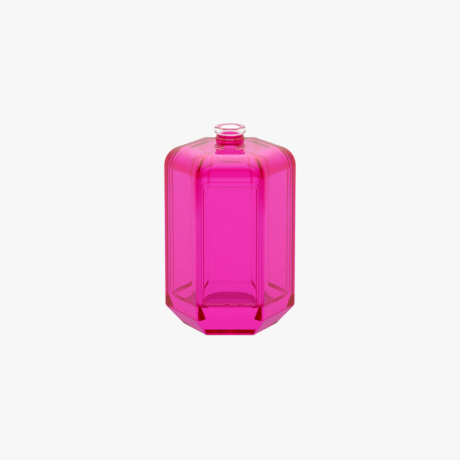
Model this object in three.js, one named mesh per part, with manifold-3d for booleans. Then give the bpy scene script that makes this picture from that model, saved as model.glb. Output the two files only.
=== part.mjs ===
// A bare glass perfume flacon, standing on its base, mouth up.
//
// glass_bottle  one piece of clear flint glass: six upright facets, a chamfered heavy base, a rounded
//               shoulder, a shallow label panel on the front facet and a crimp neck with an open bore
// lacquer_coat  the translucent magenta lacquer sprayed over the outside of the glass, from just above
//               the standing edge to just under the neck's ring, which is masked and stays clear
//
// Millimetres, +Z up, the origin at the centre of the standing face. The front facet looks along -Y and
// two of the upright edges lie on the X axis.
import * as THREE from 'three';
import { mergeVertices } from 'three/addons/utils/BufferGeometryUtils.js';
import Module from 'manifold-3d';

const wasm = await Module();
wasm.setup();

// ---- driving sizes, in millimetres ----

// Outside of the body
const BODY_FLATS = 55.6; // across two opposite facets
const BODY_HEIGHT = 90.2; // standing face to the flat top of the shoulder
const EDGE_RADIUS = 1.7; // round on the six upright edges, at full width
const SHOULDER_RISE = 9.7; // height of the curve between facets and top
const SHOULDER_INSET = 8.2; // how far the top's edge lies inside the facets
const BASE_FLATS = 39.2; // standing face, across flats
const CHAMFER_RISE = 10; // height of the slanted facets above the standing face
const CHAMFER_ROUND = 0.9; // length taken by the round where slanted and upright facets meet
const BASE_ROUND = 0.5; // length taken by the round at the standing edge

// Inside of the body
const WALL = 3.8; // glass behind an upright facet
const BASE_THICKNESS = 14.2; // glass under the hollow
const TOP_THICKNESS = 3.8; // glass over the hollow, round the neck
const HOLLOW_EDGE_RADIUS = 7.5; // round on the hollow's six upright corners
const HOLLOW_FLOOR_RISE = 7; // height of the curve between floor and walls
const HOLLOW_FLOOR_INSET = 11; // its reach across the floor
const HOLLOW_TOP_RISE = 8; // height of the curve between walls and ceiling
const HOLLOW_TOP_INSET = 8; // its reach across the ceiling
const HOLLOW_FLOOR_ROUNDNESS = 0.8; // 0 keeps the floor six-sided, 1 makes it round

// Label panel pressed into the front facet, in two shallow steps
const PANEL_WIDTH = 24.7;
const PANEL_HEIGHT = 57.1;
const PANEL_BOTTOM = 18.55; // lower edge of the panel's floor above the standing face
const PANEL_DEPTH = 0.4;
const PANEL_SLOPE = 0.5; // width of the slope round the panel's floor
const PANEL_CORNER_RADIUS = 1;
const BORDER_SIDE = 0.95; // flat step round the panel, its width at either side
const BORDER_OVER = 2.45; // the step above the panel
const BORDER_UNDER = 1.65; // the step below the panel
const BORDER_DEPTH = 0.25;
const BORDER_SLOPE = 0.9;
const BORDER_CORNER_RADIUS = 3.1;

// Crimp neck, heights measured up from the top of the shoulder
const NECK_HEIGHT = 9.8;
const RING_DIAMETER = 15; // the ring that a crimped collar closes under
const RING_HEIGHT = 3.1;
const RING_EDGE = 0.45; // round at the ring's two edges
const WAIST_INSET = 1.05; // narrow band right under the ring, inside the ring's edge
const BEAD_INSET = 0.35; // transfer bead under the waist, inside the ring's edge
const BEAD_RISE = 4;
const BEAD_HALF_WIDTH = 0.9;
const STEM_INSET = 0.85; // between the bead and the collar
const COLLAR_INSET = 0.2; // foot of the neck
const COLLAR_HEIGHT = 1.3;
const BORE_DIAMETER = 9.6;
const BORE_EDGE = 0.4; // round at the mouth of the bore

// Lacquer
const LACQUER_GAP = 0.06; // clearance that keeps the two solids apart
const LACQUER_FILM = 0.14; // film thickness, heavier than the real 0.02 so that it is a solid
const LACQUER_FOOT = 0.35; // bare glass left at the standing edge
const LACQUER_TOP_CLEARANCE = 0.5; // bare glass left under the ring

// ---- fineness ----
const EDGE_STEPS = 2;
const HOLLOW_EDGE_STEPS = 4;
const CURVE_STEPS = 6;
const NECK_CURVE_STEPS = 3;
const NECK_SIDES = 32;
const SUNK = 2; // how far a joined or cutting solid runs past the face it meets

const CORNERS = 6;
const CORNER_ANGLE = (2 * Math.PI) / CORNERS;
const CORNER_REACH = 1 / Math.cos(CORNER_ANGLE / 2); // corner distance over facet distance
const RING_BOTTOM = BODY_HEIGHT + NECK_HEIGHT - RING_HEIGHT;

// ---- shaping ----

// The columns of a six-sided section with rounded corners, its corners on the X axis. facet is the
// distance from the axis to a facet, radius the round of a corner.
function sectionPoint(column, facet, radius, steps) {
  const corner = Math.floor(column / (steps + 1));
  const step = column % (steps + 1);
  const towards = corner * CORNER_ANGLE;
  const facing = towards + CORNER_ANGLE * (step / steps - 0.5);
  const centre = (facet - radius) * CORNER_REACH;
  return [
    centre * Math.cos(towards) + radius * Math.cos(facing),
    centre * Math.sin(towards) + radius * Math.sin(facing),
  ];
}

// A six-sided solid: outline holds (facet distance, height) from bottom to top, both ends on the axis,
// and radiusAt gives the corner round of each section.
function sixSided(outline, radiusAt, steps) {
  const columns = CORNERS * (steps + 1);
  const geometry = new THREE.LatheGeometry(outline, columns);
  const position = geometry.attributes.position;
  for (let column = 0; column <= columns; column += 1) {
    outline.forEach((point, row) => {
      const radius = Math.min(radiusAt(point.x, point.y), point.x);
      const [x, y] = sectionPoint(column % columns, point.x, radius, steps);
      position.setXYZ(column * outline.length + row, x, y, point.y);
    });
  }
  return solid(geometry);
}

// A round solid about the Z axis from an outline that runs bottom to top.
function round(outline) {
  const geometry = new THREE.LatheGeometry(outline, NECK_SIDES);
  geometry.rotateX(Math.PI / 2);
  return solid(geometry);
}

// A closed geometry as a solid that can be cut and joined.
function solid(geometry) {
  geometry.deleteAttribute('normal');
  geometry.deleteAttribute('uv');
  const merged = mergeVertices(geometry, 1e-5);
  const index = merged.index.array;
  const faces = [];
  for (let i = 0; i < index.length; i += 3) {
    const [a, b, c] = [index[i], index[i + 1], index[i + 2]];
    if (a !== b && b !== c && c !== a) faces.push(a, b, c);
  }
  const vertProperties = new Float32Array(merged.attributes.position.array);
  return new wasm.Manifold(new wasm.Mesh({ numProp: 3, vertProperties, triVerts: new Uint32Array(faces) }));
}

function named(name, body, material) {
  const mesh = body.getMesh();
  const geometry = new THREE.BufferGeometry();
  geometry.setAttribute('position', new THREE.BufferAttribute(new Float32Array(mesh.vertProperties), 3));
  geometry.setIndex(new THREE.BufferAttribute(new Uint32Array(mesh.triVerts), 1));
  geometry.computeVertexNormals();
  const part = new THREE.Mesh(geometry, material);
  part.name = name;
  return part;
}

// ---- outside of the flacon ----

// Outline of the body's facets, grown outwards by grow.
function bodyOutline(grow) {
  const facet = BODY_FLATS / 2 + grow;
  const base = BASE_FLATS / 2 + grow;
  const lean = Math.atan2(facet - base, CHAMFER_RISE);
  const path = new THREE.Path();
  path.moveTo(0, 0);
  path.lineTo(base - BASE_ROUND, 0);
  path.quadraticCurveTo(base, 0, base + BASE_ROUND * Math.sin(lean), BASE_ROUND * Math.cos(lean));
  path.lineTo(facet - CHAMFER_ROUND * Math.sin(lean), CHAMFER_RISE - CHAMFER_ROUND * Math.cos(lean));
  path.quadraticCurveTo(facet, CHAMFER_RISE, facet, CHAMFER_RISE + CHAMFER_ROUND);
  path.lineTo(facet, BODY_HEIGHT - SHOULDER_RISE);
  path.absellipse(
    BODY_FLATS / 2 - SHOULDER_INSET, BODY_HEIGHT - SHOULDER_RISE,
    SHOULDER_INSET + grow, SHOULDER_RISE + grow, 0, Math.PI / 2, false, 0,
  );
  path.lineTo(0, BODY_HEIGHT + grow);
  return path.getPoints(CURVE_STEPS);
}

// The upright edges' round shrinks with the section, so each edge stays one clean line.
function edgeRadius(facet) {
  return (EDGE_RADIUS * facet) / (BODY_FLATS / 2);
}

// Outline of the neck below its ring, grown outwards by grow, up to top.
function stemPath(grow, top) {
  const ring = RING_DIAMETER / 2 + grow;
  const collar = ring - COLLAR_INSET;
  const stem = ring - STEM_INSET;
  const bead = ring - BEAD_INSET;
  const waist = ring - WAIST_INSET;
  const beadMiddle = BODY_HEIGHT + BEAD_RISE;
  const collarTop = BODY_HEIGHT + COLLAR_HEIGHT;
  const path = new THREE.Path();
  path.moveTo(0, BODY_HEIGHT - SUNK);
  path.lineTo(collar, BODY_HEIGHT - SUNK);
  path.lineTo(collar, collarTop - (collar - stem));
  path.quadraticCurveTo(collar, collarTop, stem, collarTop);
  path.lineTo(stem, beadMiddle - BEAD_HALF_WIDTH);
  path.quadraticCurveTo(bead * 2 - (stem + waist) / 2, beadMiddle, waist, beadMiddle + BEAD_HALF_WIDTH);
  path.lineTo(waist, top);
  return path;
}

function neckOutline() {
  const ring = RING_DIAMETER / 2;
  const lip = BODY_HEIGHT + NECK_HEIGHT;
  const path = stemPath(0, RING_BOTTOM - RING_EDGE);
  path.lineTo(ring - RING_EDGE, RING_BOTTOM);
  path.quadraticCurveTo(ring, RING_BOTTOM, ring, RING_BOTTOM + RING_EDGE);
  path.lineTo(ring, lip - RING_EDGE);
  path.quadraticCurveTo(ring, lip, ring - RING_EDGE, lip);
  path.lineTo(0, lip);
  return path.getPoints(NECK_CURVE_STEPS);
}

// ---- inside of the flacon ----

const HOLLOW_FACET = BODY_FLATS / 2 - WALL;
const HOLLOW_TOP = BODY_HEIGHT - TOP_THICKNESS;

function hollowOutline() {
  const floorCurve = BASE_THICKNESS + HOLLOW_FLOOR_RISE;
  const topCurve = HOLLOW_TOP - HOLLOW_TOP_RISE;
  const path = new THREE.Path();
  path.moveTo(0, BASE_THICKNESS);
  path.lineTo(HOLLOW_FACET - HOLLOW_FLOOR_INSET, BASE_THICKNESS);
  path.absellipse(
    HOLLOW_FACET - HOLLOW_FLOOR_INSET, floorCurve,
    HOLLOW_FLOOR_INSET, HOLLOW_FLOOR_RISE, -Math.PI / 2, 0, false, 0,
  );
  path.absellipse(
    HOLLOW_FACET - HOLLOW_TOP_INSET, topCurve,
    HOLLOW_TOP_INSET, HOLLOW_TOP_RISE, 0, Math.PI / 2, false, 0,
  );
  path.lineTo(0, HOLLOW_TOP);
  return path.getPoints(CURVE_STEPS);
}

// The hollow's corners grow rounder where it closes towards its floor. The ceiling stays six-sided.
function hollowRadius(facet, height) {
  const widest = HOLLOW_EDGE_RADIUS / HOLLOW_FACET;
  if (height > BASE_THICKNESS + HOLLOW_FLOOR_RISE) return facet * widest;
  const closed = 1 - facet / HOLLOW_FACET;
  const roundness = Math.min(1, closed / (HOLLOW_FLOOR_INSET / HOLLOW_FACET));
  return facet * (widest + (HOLLOW_FLOOR_ROUNDNESS - widest) * roundness);
}

function boreOutline() {
  const bore = BORE_DIAMETER / 2;
  const lip = BODY_HEIGHT + NECK_HEIGHT;
  const path = new THREE.Path();
  path.moveTo(0, HOLLOW_TOP - SUNK);
  path.lineTo(bore, HOLLOW_TOP - SUNK);
  path.lineTo(bore, lip - BORE_EDGE);
  path.quadraticCurveTo(bore, lip, bore + BORE_EDGE, lip);
  path.lineTo(bore + BORE_EDGE, lip + SUNK);
  path.lineTo(0, lip + SUNK);
  return path.getPoints(NECK_CURVE_STEPS);
}

// ---- label panel ----

// A block with rounded corners and one sloped edge, for pressing into a facet. half, bottom and top
// bound its innermost face, depth and slope belong to the edge, and facet is where the edge ends.
function pressing(half, bottom, top, corner, depth, slope, facet) {
  const outline = new THREE.Shape();
  outline.moveTo(-half + corner, bottom);
  outline.lineTo(half - corner, bottom);
  outline.absarc(half - corner, bottom + corner, corner, -Math.PI / 2, 0, false);
  outline.absarc(half - corner, top - corner, corner, 0, Math.PI / 2, false);
  outline.absarc(-half + corner, top - corner, corner, Math.PI / 2, Math.PI, false);
  outline.absarc(-half + corner, bottom + corner, corner, Math.PI, Math.PI * 1.5, false);
  const geometry = new THREE.ExtrudeGeometry(outline, {
    depth: SUNK,
    bevelEnabled: true,
    bevelThickness: depth,
    bevelSize: slope,
    bevelSegments: 1,
    curveSegments: EDGE_STEPS,
  });
  // The extrusion runs along +Z from its inner bevel: turned so, it runs along -Y out of the facet.
  geometry.rotateX(Math.PI / 2);
  geometry.translate(0, -facet, 0);
  return solid(geometry);
}

// The label panel and the step round it, pressed into a facet that lies facet from the axis.
function panelBlock(facet) {
  const half = PANEL_WIDTH / 2;
  const top = PANEL_BOTTOM + PANEL_HEIGHT;
  const border = pressing(
    half + BORDER_SIDE, PANEL_BOTTOM - BORDER_UNDER, top + BORDER_OVER,
    BORDER_CORNER_RADIUS, BORDER_DEPTH, BORDER_SLOPE, facet,
  );
  const panel = pressing(
    half, PANEL_BOTTOM, top,
    PANEL_CORNER_RADIUS, PANEL_DEPTH, PANEL_SLOPE, facet - BORDER_DEPTH,
  );
  return border.add(panel);
}

// ---- pieces ----

function glassBottle() {
  const body = sixSided(bodyOutline(0), edgeRadius, EDGE_STEPS);
  const hollow = sixSided(hollowOutline(), hollowRadius, HOLLOW_EDGE_STEPS);
  const shape = body
    .add(round(neckOutline()))
    .subtract(hollow)
    .subtract(round(boreOutline()))
    .subtract(panelBlock(BODY_FLATS / 2));
  const flint = new THREE.MeshStandardMaterial({
    color: 0xf3f0f2, roughness: 0.03, metalness: 0, transparent: true, opacity: 0.35,
  });
  return named('glass_bottle', shape, flint);
}

// The outside of the flacon grown by grow, with the neck up to top.
function sprayed(grow, top) {
  const stem = stemPath(grow, top);
  stem.lineTo(0, top);
  return sixSided(bodyOutline(grow), edgeRadius, EDGE_STEPS)
    .add(round(stem.getPoints(NECK_CURVE_STEPS)))
    .subtract(panelBlock(BODY_FLATS / 2 + grow));
}

function lacquerCoat() {
  const top = RING_BOTTOM - RING_EDGE - LACQUER_TOP_CLEARANCE;
  const outside = sprayed(LACQUER_GAP + LACQUER_FILM, top);
  const inside = sprayed(LACQUER_GAP, top + SUNK);
  const bareFoot = new THREE.BoxGeometry(2 * BODY_FLATS, 2 * BODY_FLATS, 2 * LACQUER_FOOT);
  const magenta = new THREE.MeshStandardMaterial({
    color: 0xf236b5, roughness: 0.08, metalness: 0, transparent: true, opacity: 0.7,
  });
  return named('lacquer_coat', outside.subtract(inside).subtract(solid(bareFoot)), magenta);
}

const flacon = new THREE.Group();
flacon.add(glassBottle(), lacquerCoat());

export default flacon;
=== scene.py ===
import math

import bmesh
import bpy
from mathutils import Matrix, Vector


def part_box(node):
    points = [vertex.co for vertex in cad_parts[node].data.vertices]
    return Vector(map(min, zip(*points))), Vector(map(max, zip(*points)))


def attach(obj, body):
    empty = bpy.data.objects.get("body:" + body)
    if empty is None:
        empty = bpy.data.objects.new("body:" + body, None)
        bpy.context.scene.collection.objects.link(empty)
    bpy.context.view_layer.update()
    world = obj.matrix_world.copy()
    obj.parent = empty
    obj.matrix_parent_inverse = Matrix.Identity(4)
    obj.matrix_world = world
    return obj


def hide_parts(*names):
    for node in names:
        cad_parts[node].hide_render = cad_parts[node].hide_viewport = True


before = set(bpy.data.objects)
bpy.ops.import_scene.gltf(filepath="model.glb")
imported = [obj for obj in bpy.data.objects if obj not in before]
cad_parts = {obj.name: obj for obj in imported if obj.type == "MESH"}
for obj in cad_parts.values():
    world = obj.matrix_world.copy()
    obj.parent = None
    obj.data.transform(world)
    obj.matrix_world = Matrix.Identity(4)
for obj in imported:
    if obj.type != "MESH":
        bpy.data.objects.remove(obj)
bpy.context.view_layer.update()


# ---- The bottle: one piece of flint glass ----
# A perfume flacon of colourless flint glass, pressed and blown in a mould: six facets, a heavy base with
# slanted facets under them, a rounded shoulder, a label panel and a crimp neck. The hollow inside is
# softer in its corners, because it is shaped by air and not by the mould.

MM = 0.001
low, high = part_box("glass_bottle")
FACET = (high[1] - low[1]) / 2          # axis to a facet
HEIGHT = high[2] - low[2]
NECK_HEIGHT = 9.8 * MM
TOP = HEIGHT - NECK_HEIGHT              # flat top of the shoulder
EDGE_RADIUS = 1.44 * MM                 # round on the upright edges
EDGE_STEPS = 10
BASE_FACET = 19.6 * MM
CHAMFER_RISE = 10 * MM
CHAMFER_ROUND = 0.9 * MM
BASE_ROUND = 0.5 * MM
SHOULDER_RISE = 9.7 * MM
SHOULDER_INSET = 8.2 * MM
BASE_STEPS = 6
SOFT_STEPS = 8                          # steps of a round that takes a few millimetres
SHOULDER_STEPS = 24
TINY = 1e-6

# The panel is a flat field inside a shallow border that has rounder corners.
BORDER_HALF_WIDTH = 14.2 * MM
BORDER_BOTTOM = 16 * MM
BORDER_TOP = 79 * MM
BORDER_CORNER = 4 * MM
BORDER_SLOPE = 0.9 * MM
BORDER_DEPTH = 0.25 * MM
PANEL_HALF_WIDTH = 12.6 * MM
PANEL_BOTTOM = 18.3 * MM
PANEL_TOP = 75.9 * MM
PANEL_CORNER = 1 * MM
PANEL_DEPTH = 0.4 * MM
PANEL_SLOPE = 0.5 * MM
PANEL_CORNER_STEPS = 12

RING_RADIUS = 7.5 * MM
RING_HEIGHT = 3.1 * MM
RING_EDGE = 0.58 * MM
WAIST_RADIUS = 6.45 * MM
BEAD_RADIUS = 7.15 * MM
BEAD_RISE = 4 * MM
BEAD_HALF_WIDTH = 0.9 * MM
STEM_RADIUS = 6.65 * MM
COLLAR_RADIUS = 7.3 * MM
COLLAR_HEIGHT = 1.3 * MM
COLLAR_FOOT = 0.5 * MM                  # round where the collar meets the shoulder
WAIST_ROUND = 0.3 * MM
WAIST_STEPS = 3
BORE_RADIUS = 4.8 * MM
BORE_EDGE = 0.87 * MM
BORE_FLARE = 2 * MM                     # round where the bore opens into the hollow
NECK_SIDES = 96
NECK_STEPS = 5

HOLLOW_FACET = FACET - 3.9 * MM
HOLLOW_CORNER = 7.4 * MM                # round on the hollow's six corners
FLOOR = 13.5 * MM
FLOOR_RISE = 4 * MM
FLOOR_INSET = 11.4 * MM
CEILING = TOP - 3.8 * MM
CEILING_RISE = 9.6 * MM
CEILING_INSET = 9.1 * MM
FLOOR_STEPS = 18


def curve(start, corner, end, steps):
    """Points of a smooth round from start to end, pulled towards corner."""
    points = []
    for i in range(1, steps + 1):
        t = i / steps
        points.append(tuple(
            (1 - t) ** 2 * a + 2 * t * (1 - t) * b + t * t * c
            for a, b, c in zip(start, corner, end)
        ))
    return points


def quarter(centre, across, up, start, steps):
    """Points of a quarter of an ellipse, from the angle start in degrees, anticlockwise."""
    turns = (math.radians(start + 90 * i / steps) for i in range(1, steps + 1))
    return [(centre[0] + across * math.cos(t), centre[1] + up * math.sin(t)) for t in turns]


def body_outline(grow=0.0):
    """(facet distance, height) up the outside of the body, from the standing edge to the flat top."""
    facet = FACET + grow
    base = BASE_FACET + grow
    lean = math.atan2(facet - base, CHAMFER_RISE)
    across, up = math.sin(lean), math.cos(lean)
    first = (base + BASE_ROUND * across, BASE_ROUND * up)
    last = (facet - CHAMFER_ROUND * across, CHAMFER_RISE - CHAMFER_ROUND * up)
    outline = [(base - BASE_ROUND, 0.0)]
    outline += curve(outline[0], (base, 0.0), first, BASE_STEPS)
    outline += [last]
    outline += curve(last, (facet, CHAMFER_RISE), (facet, CHAMFER_RISE + CHAMFER_ROUND), SOFT_STEPS)
    outline += [(facet, TOP - SHOULDER_RISE)]
    outline += quarter((FACET - SHOULDER_INSET, TOP - SHOULDER_RISE),
                       SHOULDER_INSET + grow, SHOULDER_RISE + grow, 0, SHOULDER_STEPS)
    return outline


def stem_outline(grow=0.0):
    """(radius, height) up the outside of the neck from the shoulder to the waist under the ring."""
    collar = COLLAR_RADIUS + grow
    stem = STEM_RADIUS + grow
    waist = WAIST_RADIUS + grow
    bead = 2 * BEAD_RADIUS - (STEM_RADIUS + WAIST_RADIUS) / 2 + grow
    shoulder = TOP + grow
    collar_top = TOP + COLLAR_HEIGHT
    bead_middle = TOP + BEAD_RISE
    outline = [(collar + COLLAR_FOOT, shoulder)]
    outline += curve(outline[-1], (collar, shoulder), (collar, shoulder + COLLAR_FOOT), NECK_STEPS)
    outline += [(collar, collar_top - (COLLAR_RADIUS - STEM_RADIUS))]
    outline += curve(outline[-1], (collar, collar_top), (stem, collar_top), NECK_STEPS)
    outline += [(stem, bead_middle - BEAD_HALF_WIDTH)]
    outline += curve(outline[-1], (bead, bead_middle), (waist, bead_middle + BEAD_HALF_WIDTH), SOFT_STEPS)
    return outline


def extrude_ring(bm, ring, widen, rise):
    """Extrudes a ring of edges, widened about the Z axis and lifted. Returns the new ring."""
    made = bmesh.ops.extrude_edge_only(bm, edges=ring)["geom"]
    verts = [g for g in made if isinstance(g, bmesh.types.BMVert)]
    bmesh.ops.scale(bm, verts=verts, vec=(widen, widen, 1))
    bmesh.ops.translate(bm, verts=verts, vec=(0, 0, rise))
    return [g for g in made if isinstance(g, bmesh.types.BMEdge)
            and all(v in verts for v in g.verts)]


def extrude_outline(bm, ring, outline):
    """Extrudes a ring of edges from one point of an outline to the next. Returns the last ring."""
    for (size, height), (next_size, next_height) in zip(outline, outline[1:]):
        ring = extrude_ring(bm, ring, next_size / size, next_height - height)
    return ring


def six_sided_ring(bm, facet, height, foot):
    """A six-sided ring with rounded corners, on the X axis; foot fills it with a face."""
    corner = facet / math.cos(math.radians(30))
    turned = Matrix.Rotation(math.radians(30), 4, "Z")
    bmesh.ops.create_circle(bm, cap_ends=True, segments=6, radius=corner,
                            matrix=Matrix.Translation((0, 0, height)) @ turned)
    cut = EDGE_RADIUS * facet / FACET * math.tan(math.radians(30))
    bmesh.ops.bevel(bm, geom=list(bm.verts), offset=cut, offset_type="OFFSET",
                    affect="VERTICES", segments=EDGE_STEPS, profile=0.5, material=-1)
    ring = list(bm.edges)
    if not foot:
        bmesh.ops.delete(bm, geom=list(bm.faces), context="FACES_ONLY")
    return ring


def round_ring(bm, radius, height):
    """A round ring of edges for the foot of the neck."""
    made = bmesh.ops.create_circle(bm, cap_ends=False, segments=NECK_SIDES, radius=radius,
                                   matrix=Matrix.Translation((0, 0, height)))
    return [e for e in bm.edges if all(v in made["verts"] for v in e.verts)]


def rounded_face(bm, half_width, bottom, top, corner, y):
    """A loose upright face with rounded corners at y, for the label panel."""
    before = set(bm.faces)
    made = bmesh.ops.create_grid(
        bm, x_segments=1, y_segments=1, size=0.5,
        matrix=Matrix.Translation((0, y, (bottom + top) / 2)) @ Matrix.Rotation(math.radians(90), 4, "X")
        @ Matrix.Diagonal((2 * half_width, top - bottom, 1, 1)))
    bmesh.ops.bevel(bm, geom=made["verts"], offset=corner, offset_type="OFFSET", affect="VERTICES",
                    segments=PANEL_CORNER_STEPS, profile=0.5, material=-1)
    return next(f for f in bm.faces if f not in before)


def sink(bm, face, slope, depth):
    """Sinks a face in by depth over a slope that starts and ends softly."""
    for i in range(SOFT_STEPS):
        before, after = (0.5 - 0.5 * math.cos(math.pi * (i + k) / SOFT_STEPS) for k in (0, 1))
        bmesh.ops.inset_region(bm, faces=[face], thickness=slope / SOFT_STEPS, use_boundary=True,
                               use_even_offset=True)
        bmesh.ops.translate(bm, verts=list(face.verts), vec=(0, depth * (after - before), 0))


def press_panel(bm, grow=0.0):
    """Presses the label panel and its border into the front facet."""
    front = -FACET - grow
    at_front = [f for f in bm.faces if abs(f.calc_center_median().y - front) < TINY]
    facet = max(at_front, key=lambda f: f.calc_area())
    border = rounded_face(bm, BORDER_HALF_WIDTH, BORDER_BOTTOM, BORDER_TOP, BORDER_CORNER, front)
    sink(bm, border, BORDER_SLOPE, BORDER_DEPTH)
    half = PANEL_SLOPE / 2
    panel = rounded_face(bm, PANEL_HALF_WIDTH + half, PANEL_BOTTOM - half, PANEL_TOP + half,
                         PANEL_CORNER + half, front + BORDER_DEPTH)
    sink(bm, panel, PANEL_SLOPE, PANEL_DEPTH)
    bmesh.ops.delete(bm, geom=[facet, border], context="FACES_ONLY")
    for y in (front, front + BORDER_DEPTH):
        rims = [e for e in bm.edges if e.is_boundary and all(abs(v.co.y - y) < TINY for v in e.verts)]
        bmesh.ops.triangle_fill(bm, use_beauty=True, edges=rims)


def hollow_reach(direction, facet, corner):
    """Distance from the axis to a six-sided wall with rounded corners, in a direction."""
    sixth = math.radians(60)
    off = abs((direction + sixth / 2) % sixth - sixth / 2)   # from the nearest corner
    centre = (facet - corner) / math.cos(sixth / 2)
    if math.sin(sixth / 2 - off) * centre >= 0 and \
            centre * math.sin(off) <= corner * math.sin(sixth / 2 - off):
        return centre * math.cos(off) + math.sqrt(corner ** 2 - (centre * math.sin(off)) ** 2)
    return facet / math.cos(sixth / 2 - off)


def build_glass():
    """The whole bottle as one closed surface, outside, neck and hollow."""
    bm = bmesh.new()
    outline = body_outline()
    ring = six_sided_ring(bm, *outline[0], foot=True)
    top_ring = extrude_outline(bm, ring, outline)
    press_panel(bm)

    # Neck: up the stem, out over the ring, over the lip and down the bore.
    stem = stem_outline()
    ring_bottom = HEIGHT - RING_HEIGHT
    neck = stem + [(WAIST_RADIUS, ring_bottom - WAIST_ROUND)]
    neck += curve(neck[-1], (WAIST_RADIUS, ring_bottom), (WAIST_RADIUS + WAIST_ROUND, ring_bottom),
                  WAIST_STEPS)
    neck += [(RING_RADIUS - RING_EDGE, ring_bottom)]
    neck += curve(neck[-1], (RING_RADIUS, ring_bottom), (RING_RADIUS, ring_bottom + RING_EDGE), NECK_STEPS)
    neck += [(RING_RADIUS, HEIGHT - RING_EDGE)]
    neck += curve(neck[-1], (RING_RADIUS, HEIGHT), (RING_RADIUS - RING_EDGE, HEIGHT), NECK_STEPS)
    neck += [(BORE_RADIUS + BORE_EDGE, HEIGHT)]
    neck += curve(neck[-1], (BORE_RADIUS, HEIGHT), (BORE_RADIUS, HEIGHT - BORE_EDGE), NECK_STEPS)
    neck += [(BORE_RADIUS, CEILING + BORE_FLARE)]
    neck += curve(neck[-1], (BORE_RADIUS, CEILING), (BORE_RADIUS + BORE_FLARE, CEILING), SOFT_STEPS)
    foot_ring = round_ring(bm, *neck[0])
    bore_ring = extrude_outline(bm, foot_ring, neck)
    bmesh.ops.triangle_fill(bm, use_beauty=True, use_dissolve=False, edges=top_ring + foot_ring)

    # Hollow: from the bore out under the shoulder, down the walls and in to the floor.
    walls_top = CEILING - CEILING_RISE
    walls_foot = FLOOR + FLOOR_RISE
    inside = [(neck[-1][0], CEILING), (HOLLOW_FACET - CEILING_INSET, CEILING)]
    inside += quarter((HOLLOW_FACET - CEILING_INSET, walls_top), CEILING_INSET, CEILING_RISE,
                      0, SHOULDER_STEPS)[::-1][1:]
    inside += [(HOLLOW_FACET, walls_top), (HOLLOW_FACET, walls_foot)]
    inside += quarter((HOLLOW_FACET - FLOOR_INSET, walls_foot), FLOOR_INSET, FLOOR_RISE,
                      -90, FLOOR_STEPS)[::-1][1:]
    inside += [(HOLLOW_FACET - FLOOR_INSET, FLOOR)]
    ring = bore_ring
    for (size, height), (next_size, next_height) in zip(inside, inside[1:]):
        ring = extrude_ring(bm, ring, 1, next_height - height)
        # The ceiling stays six-sided. The hollow grows rounder as it closes towards its floor.
        closing = (HOLLOW_FACET - next_size) / FLOOR_INSET if next_height < walls_foot else 0
        corner = min(next_size, next_size * (HOLLOW_CORNER / HOLLOW_FACET) ** (1 - min(1, closing)))
        for v in {v for e in ring for v in e.verts}:
            direction = math.atan2(v.co.y, v.co.x)
            reach = hollow_reach(direction, next_size, corner)
            v.co.x, v.co.y = reach * math.cos(direction), reach * math.sin(direction)
    bmesh.ops.contextual_create(bm, geom=ring)
    bmesh.ops.recalc_face_normals(bm, faces=list(bm.faces))
    return bm


def linear(hex_colour):
    """An sRGB hex colour as linear red, green, blue and 1."""
    channels = [int(hex_colour[i:i + 2], 16) / 255 for i in (1, 3, 5)]
    return [c / 12.92 if c <= 0.04045 else ((c + 0.055) / 1.055) ** 2.4 for c in channels] + [1]


def add_node(tree, kind, settings=(), links=()):
    """Adds a node; settings sets its properties or inputs, links feeds its inputs from outputs."""
    made = tree.nodes.new(kind)
    for name, value in dict(settings).items():
        if isinstance(name, str) and hasattr(made, name):
            setattr(made, name, value)
        else:
            made.inputs[name].default_value = value
    for name, output in dict(links).items():
        tree.links.new(output, made.inputs[name])
    return made


def new_material(name):
    """A material with an empty node tree."""
    material = bpy.data.materials.new(name)
    material.use_nodes = True
    material.node_tree.nodes.clear()
    return material, material.node_tree


def finish_piece(bm, name, materials, node):
    """Makes the piece's object, with flat facets and soft rounds, and hides the CAD node it stands for."""
    mesh = bpy.data.meshes.new(name)
    bm.to_mesh(mesh)
    bm.free()
    for polygon in mesh.polygons:
        polygon.use_smooth = True
    piece = bpy.data.objects.new(name, mesh)
    bpy.context.collection.objects.link(piece)
    for material in materials:
        mesh.materials.append(material)
    normals = piece.modifiers.new("even_facets", "WEIGHTED_NORMAL")
    normals.weight = 100                # the widest faces set the normals, so the facets stay flat
    normals.keep_sharp = True
    piece.visible_shadow = False
    piece.visible_diffuse = False
    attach(piece, "root")
    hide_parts(node)


GLASS_IOR = 1.52
WAVE_LENGTH = 14 * MM
WAVE_HEIGHT = 0.006 * MM


def mould_waves(tree):
    """The gentle waves that blown glass keeps from its mould, as a normal."""
    here = add_node(tree, "ShaderNodeTexCoord")
    waves = add_node(tree, "ShaderNodeTexNoise", {"Scale": 1 / WAVE_LENGTH, "Detail": 0.0},
                     {"Vector": here.outputs["Object"]})
    relief = add_node(tree, "ShaderNodeBump", {"Strength": 1.0, "Distance": WAVE_HEIGHT},
                      {"Height": waves.outputs[0]})
    return relief.outputs[0]


# Flint glass, blown and fire polished: colourless and clear, with a hard gloss and a slight wave that
# bends what is seen through it.
flint, tree = new_material("flint_glass_fire_polished")
shader = add_node(tree, "ShaderNodeBsdfPrincipled", {
    "Base Color": linear("#ffffff"), "Roughness": 0.0, "IOR": GLASS_IOR, "Transmission Weight": 1.0},
    {"Normal": mould_waves(tree)})
add_node(tree, "ShaderNodeOutputMaterial", links={"Surface": shader.outputs[0]})

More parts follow.
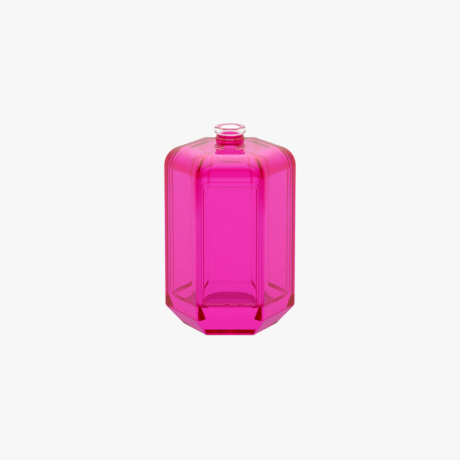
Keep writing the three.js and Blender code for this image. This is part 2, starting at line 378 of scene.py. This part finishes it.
# The same glass under the lacquer. What is turned back inside it crosses the film twice, so it comes
# back a deeper magenta.
TURNED_BACK = linear("#f738ba")
lacquered, tree = new_material("flint_glass_under_lacquer")
side = add_node(tree, "ShaderNodeNewGeometry")
turned = add_node(tree, "ShaderNodeFresnel", {"IOR": GLASS_IOR})
share = add_node(tree, "ShaderNodeMath", {"operation": "MULTIPLY"},
                 {0: side.outputs["Backfacing"], 1: turned.outputs[0]})
bent = add_node(tree, "ShaderNodeBsdfRefraction", {
    "Color": linear("#ffffff"), "Roughness": 0.0, "IOR": GLASS_IOR}, {"Normal": mould_waves(tree)})
mirrored = add_node(tree, "ShaderNodeBsdfAnisotropic", {"Color": TURNED_BACK, "Roughness": 0.0})
mix = add_node(tree, "ShaderNodeMixShader",
               links={0: share.outputs[0], 1: bent.outputs[0], 2: mirrored.outputs[0]})
add_node(tree, "ShaderNodeOutputMaterial", links={"Surface": mix.outputs[0]})

LACQUER_FOOT = 0.35 * MM                # the standing edge stays bare
LACQUER_TOP = HEIGHT - RING_HEIGHT - 0.5 * MM


def looks_outward(face):
    """Whether a face looks away from the middle of the bottle."""
    return face.normal.dot(face.calc_center_median() - Vector((0, 0, TOP / 2))) > 0


bm = build_glass()
for face in bm.faces:
    coated = LACQUER_FOOT < face.calc_center_median().z < LACQUER_TOP and looks_outward(face)
    face.material_index = 1 if coated else 0
finish_piece(bm, "flacon_glass", [flint, lacquered], "glass_bottle")


# ---- The lacquer: a sprayed translucent film ----
# Magenta lacquer sprayed on the finished glass and baked. The neck's ring is masked, so it stays clear,
# and the standing edge is wiped clean.

GAP = 0.06 * MM
FILM = 0.14 * MM
SKIN = GAP + FILM                       # glass to the outside of the film

bm = bmesh.new()
outline = body_outline(SKIN)
ring = six_sided_ring(bm, *outline[0], foot=False)
top_ring = extrude_outline(bm, ring, outline)
press_panel(bm, SKIN)
bmesh.ops.bisect_plane(bm, geom=list(bm.verts) + list(bm.edges) + list(bm.faces), dist=TINY / 10,
                       plane_co=(0, 0, LACQUER_FOOT), plane_no=(0, 0, -1), clear_outer=True)
stem = stem_outline(SKIN)
stem += [(WAIST_RADIUS + SKIN, LACQUER_TOP)]
foot_ring = round_ring(bm, *stem[0])
extrude_outline(bm, foot_ring, stem)
bmesh.ops.triangle_fill(bm, use_beauty=True, use_dissolve=False, edges=top_ring + foot_ring)
bmesh.ops.recalc_face_normals(bm, faces=list(bm.faces))
if sum(f.normal.dot(f.calc_center_median() - Vector((0, 0, TOP / 2))) for f in bm.faces) < 0:
    bmesh.ops.reverse_faces(bm, faces=list(bm.faces))
bmesh.ops.solidify(bm, geom=list(bm.faces), thickness=FILM)

# The film is drawn heavier, so its tint is deeper, in a belt where the shoulder starts, round the base,
# on the slopes of the label panel, on the stem of the neck and down the upper ends of the upright edges:
# painted shade for the dark bands that the thick glass shows there. One is the usual thickness.
SHOULDER_START = TOP - SHOULDER_RISE
BELT_TOP = 85.4 * MM
BELT_FADE = 2 * MM
BELT_PAINTED_SHADE = 2.05
BASE_TOP = 14 * MM
BASE_PAINTED_SHADE = 1.17
BORDER_PAINTED_SHADE = 1.5
PANEL_PAINTED_SHADE = 5.8
STEM_PAINTED_SHADE = 2.3
EDGE_PAINTED_SHADE = 1.97
EDGE_SHADE_END = 58.7 * MM
EDGE_REACH = math.radians(8)            # how far round from an edge the painted shade reaches
ON_SLOPE = 0.02 * MM                    # least depth and least rise that count as the slope
shaded_film_layer = bm.verts.layers.float.new("film")
# Painted shade: the film attribute is raised in the belt, the base, the panel slopes and the stem.
for v in bm.verts:
    thickness = 1.0
    if v.co.z > SHOULDER_START + FILM:
        thickness = 1 + (BELT_PAINTED_SHADE - 1) * max(0, min(1, (BELT_TOP - v.co.z) / BELT_FADE))
    if v.co.z < BASE_TOP:
        thickness = BASE_PAINTED_SHADE
    sunk = v.co.y + FACET + SKIN
    if abs(v.co.x) < BORDER_HALF_WIDTH and BORDER_BOTTOM < v.co.z < BORDER_TOP:
        if ON_SLOPE < sunk < BORDER_DEPTH - ON_SLOPE:
            thickness = BORDER_PAINTED_SHADE
        if BORDER_DEPTH + ON_SLOPE < sunk < BORDER_DEPTH + PANEL_DEPTH - ON_SLOPE:
            thickness = PANEL_PAINTED_SHADE
    if v.co.z > TOP + COLLAR_HEIGHT + SKIN:
        thickness = STEM_PAINTED_SHADE
    v[shaded_film_layer] = thickness

# Translucent lacquer, sprayed and baked: it takes most of the green out of the light at each crossing,
# so the bottle is magenta, and deep red where the film is drawn heavier as painted shade. Its gloss has a
# faint orange peel.
RED_LEFT, GREEN_LEFT, BLUE_LEFT, _ = linear("#fb7cda")
LACQUER_IOR = 1.5
FILM_VARIATION = 0.05
CLOUD_SIZE = 9 * MM
PEEL_SIZE = 1.4 * MM
PEEL_HEIGHT = 0.0015 * MM
film, tree = new_material("sprayed_magenta_lacquer")
side = add_node(tree, "ShaderNodeNewGeometry")
gloss = add_node(tree, "ShaderNodeFresnel", {"IOR": LACQUER_IOR})
front = add_node(tree, "ShaderNodeMath", {"operation": "SUBTRACT", 0: 1.0}, {1: side.outputs["Backfacing"]})
shining = add_node(tree, "ShaderNodeMath", {"operation": "MULTIPLY"},
                   {0: front.outputs[0], 1: gloss.outputs[0]})
thickness = add_node(tree, "ShaderNodeAttribute", {"attribute_name": "film"})
here = add_node(tree, "ShaderNodeTexCoord")
clouds = add_node(tree, "ShaderNodeTexNoise", {"Scale": 1 / CLOUD_SIZE, "Detail": 2.0},
                  {"Vector": here.outputs["Object"]})
uneven = add_node(tree, "ShaderNodeMapRange", {"To Min": 1 - FILM_VARIATION, "To Max": 1 + FILM_VARIATION},
                  {"Value": clouds.outputs[0]})
place = add_node(tree, "ShaderNodeSeparateXYZ", links={0: here.outputs["Object"]})
round_axis = add_node(tree, "ShaderNodeMath", {"operation": "ARCTAN2"},
                      {0: place.outputs["Y"], 1: place.outputs["X"]})
from_edge = add_node(tree, "ShaderNodeMath", {"operation": "PINGPONG", 1: math.radians(30)},
                     {0: round_axis.outputs[0]})
# Painted shade down the upper ends of the upright edges: near each edge the film is drawn heavier.
edge_shade_mask = add_node(tree, "ShaderNodeMapRange", {
    "interpolation_type": "SMOOTHSTEP", "From Min": 0.0, "From Max": EDGE_REACH,
    "To Min": 1.0, "To Max": 0.0}, {"Value": from_edge.outputs[0]})
edge_shade_rise = add_node(tree, "ShaderNodeMapRange", {
    "interpolation_type": "SMOOTHSTEP", "From Min": EDGE_SHADE_END, "From Max": SHOULDER_START,
    "To Min": 0.0, "To Max": EDGE_PAINTED_SHADE}, {"Value": place.outputs["Z"]})
film_with_painted_shade = add_node(tree, "ShaderNodeMath", {"operation": "MULTIPLY_ADD"},
                 {0: edge_shade_mask.outputs[0], 1: edge_shade_rise.outputs[0], 2: thickness.outputs["Fac"]})
depth = add_node(tree, "ShaderNodeMath", {"operation": "MULTIPLY"},
                 {0: film_with_painted_shade.outputs[0], 1: uneven.outputs[0]})
left = [add_node(tree, "ShaderNodeMath", {"operation": "POWER", 0: channel}, {1: depth.outputs[0]})
        for channel in (RED_LEFT, GREEN_LEFT, BLUE_LEFT)]
tint = add_node(tree, "ShaderNodeCombineColor", links={i: left[i].outputs[0] for i in range(3)})
through = add_node(tree, "ShaderNodeBsdfTransparent", links={"Color": tint.outputs[0]})
peel = add_node(tree, "ShaderNodeTexNoise", {"Scale": 1 / PEEL_SIZE, "Detail": 1.0},
                {"Vector": here.outputs["Object"]})
relief = add_node(tree, "ShaderNodeBump", {"Strength": 1.0, "Distance": PEEL_HEIGHT},
                  {"Height": peel.outputs[0]})
shine = add_node(tree, "ShaderNodeBsdfAnisotropic", {"Color": linear("#ffffff"), "Roughness": 0.0},
                 {"Normal": relief.outputs[0]})
mix = add_node(tree, "ShaderNodeMixShader",
               links={0: shining.outputs[0], 1: through.outputs[0], 2: shine.outputs[0]})
add_node(tree, "ShaderNodeOutputMaterial", links={"Surface": mix.outputs[0]})

# The film's inside lies on the glass and is not seen by itself.
bonded, tree = new_material("lacquer_bonded_to_glass")
through = add_node(tree, "ShaderNodeBsdfTransparent", {"Color": linear("#ffffff")})
add_node(tree, "ShaderNodeOutputMaterial", links={"Surface": through.outputs[0]})

bm.normal_update()
for face in bm.faces:
    face.material_index = 0 if looks_outward(face) else 1
finish_piece(bm, "flacon_lacquer", [film, bonded], "lacquer_coat")


# ---- The studio ----
# A pale light table that runs on behind the bottle, under a pale ceiling with a large soft light. The
# room in front of the bottle is darker and shows mostly in its gloss.

PALE = linear("#f7f7f7")


def glowing(name, colour):
    """A material that glows evenly."""
    surface, tree = new_material(name)
    glow = add_node(tree, "ShaderNodeEmission", {"Color": colour, "Strength": 1.0})
    add_node(tree, "ShaderNodeOutputMaterial", links={"Surface": glow.outputs[0]})
    return surface


def add_stage(name, bm, material):
    """Adds a part of the studio, which is not part of the bottle."""
    mesh = bpy.data.meshes.new(name)
    bm.to_mesh(mesh)
    bm.free()
    mesh.materials.append(material)
    stage = bpy.data.objects.new(name, mesh)
    bpy.context.collection.objects.link(stage)
    return stage


TABLE_RADIUS = 3
TABLE_SIDES = 96
bm = bmesh.new()
bmesh.ops.create_circle(bm, cap_ends=True, segments=TABLE_SIDES, radius=TABLE_RADIUS)
table = add_stage("light_table", bm, glowing("pale_light_table", PALE))
table.visible_glossy = False
table.visible_transmission = False

# Painted shade: a glowing deep pink disc, seen only through the glass, stands for the table in the
# bottle's shade. What reaches the table under the bottle has crossed the lacquer, so it is deep pink there.
SHADE_RADIUS = 22.5 * MM
SHADE_DROP = 0.2 * MM
bm = bmesh.new()
bmesh.ops.create_circle(bm, cap_ends=True, segments=TABLE_SIDES, radius=SHADE_RADIUS,
                        matrix=Matrix.Translation((0, 0, -SHADE_DROP)))
shade = add_stage("shade_under_the_bottle", bm, glowing("painted_shade_under_the_bottle", linear("#b6096f")))
shade.visible_camera = False
shade.visible_glossy = False

# The room as the gloss sees it: a pale wall behind, fading to the sides and below, and the soft light.
ROOM_RADIUS = 4
LIGHT_AIM = (0, 0.17, 0.985)
LIGHT_STRENGTH = 3.8
LIGHT_SPREAD = 0.3                      # cosine of the angle at which the soft light ends
WALL_ENDS = 0.95
WALL_LEVEL = 0.9
WALL_FOOT = -0.65
WALL_FULL = -0.2
room, tree = new_material("studio_room")
here = add_node(tree, "ShaderNodeTexCoord")
direction = add_node(tree, "ShaderNodeVectorMath", {"operation": "NORMALIZE"}, {0: here.outputs["Object"]})
split = add_node(tree, "ShaderNodeSeparateXYZ", links={0: direction.outputs[0]})
behind = add_node(tree, "ShaderNodeMapRange", {"From Max": WALL_ENDS, "To Max": WALL_LEVEL},
                  {"Value": split.outputs["Y"]})
low = add_node(tree, "ShaderNodeMapRange", {"From Min": WALL_FOOT, "From Max": WALL_FULL},
               {"Value": split.outputs["Z"]})
wall = add_node(tree, "ShaderNodeMath", {"operation": "MULTIPLY"},
                {0: behind.outputs[0], 1: low.outputs[0]})
aim = add_node(tree, "ShaderNodeVectorMath", {"operation": "DOT_PRODUCT", 1: LIGHT_AIM},
               {0: direction.outputs[0]})
spread = add_node(tree, "ShaderNodeMapRange", {"From Min": LIGHT_SPREAD}, {"Value": aim.outputs["Value"]})
soft = add_node(tree, "ShaderNodeMath", {"operation": "POWER", 1: 2.0}, {0: spread.outputs[0]})
both = add_node(tree, "ShaderNodeMath", {"operation": "MULTIPLY_ADD", 1: LIGHT_STRENGTH},
                {0: soft.outputs[0], 2: wall.outputs[0]})
glow = add_node(tree, "ShaderNodeEmission", {"Color": PALE}, {"Strength": both.outputs[0]})
add_node(tree, "ShaderNodeOutputMaterial", links={"Surface": glow.outputs[0]})
bm = bmesh.new()
bmesh.ops.create_uvsphere(bm, u_segments=48, v_segments=24, radius=ROOM_RADIUS)
tent = add_stage("studio_room", bm, room)
tent.visible_camera = False
tent.visible_transmission = False
tent.visible_diffuse = False
tent.visible_shadow = False

# The light that comes through the glass: brightest from behind, a little weaker from the front.
FRONT_LEVEL = 0.79
BACK_LEVEL = 1.09
DARK_BELOW = -0.14
BRIGHT_ABOVE = 0.9
world = bpy.data.worlds.new("studio")
bpy.context.scene.world = world
world.use_nodes = True
tree = world.node_tree
tree.nodes.clear()
here = add_node(tree, "ShaderNodeTexCoord")
split = add_node(tree, "ShaderNodeSeparateXYZ", links={0: here.outputs["Generated"]})
behind = add_node(tree, "ShaderNodeMapRange", {
    "From Min": DARK_BELOW, "From Max": BRIGHT_ABOVE,
    "To Min": FRONT_LEVEL, "To Max": BACK_LEVEL}, {"Value": split.outputs["Y"]})
sky = add_node(tree, "ShaderNodeBackground", {"Color": PALE}, {"Strength": behind.outputs[0]})
add_node(tree, "ShaderNodeOutputWorld", links={"Surface": sky.outputs[0]})

# A long lens from a little above, so that the upright edges stay nearly parallel.
CAMERA_PLACE = (0, -0.9395, 0.290)
LOOKS_DOWN = math.radians(14.44)
camera_data = bpy.data.cameras.new("camera")
camera_data.lens = 154.65
camera_data.sensor_width = 36
camera = bpy.data.objects.new("camera", camera_data)
camera.location = CAMERA_PLACE
camera.rotation_euler = (math.radians(90) - LOOKS_DOWN, 0, 0)
bpy.context.collection.objects.link(camera)
bpy.context.scene.camera = camera

# Light is turned back many times inside thick glass before it leaves.
BOUNCES = 48
scene = bpy.context.scene
scene.view_settings.view_transform = "Standard"
scene.cycles.max_bounces = BOUNCES
scene.cycles.glossy_bounces = BOUNCES
scene.cycles.transmission_bounces = BOUNCES
scene.cycles.transparent_max_bounces = 2 * BOUNCES
scene.cycles.blur_glossy = 0
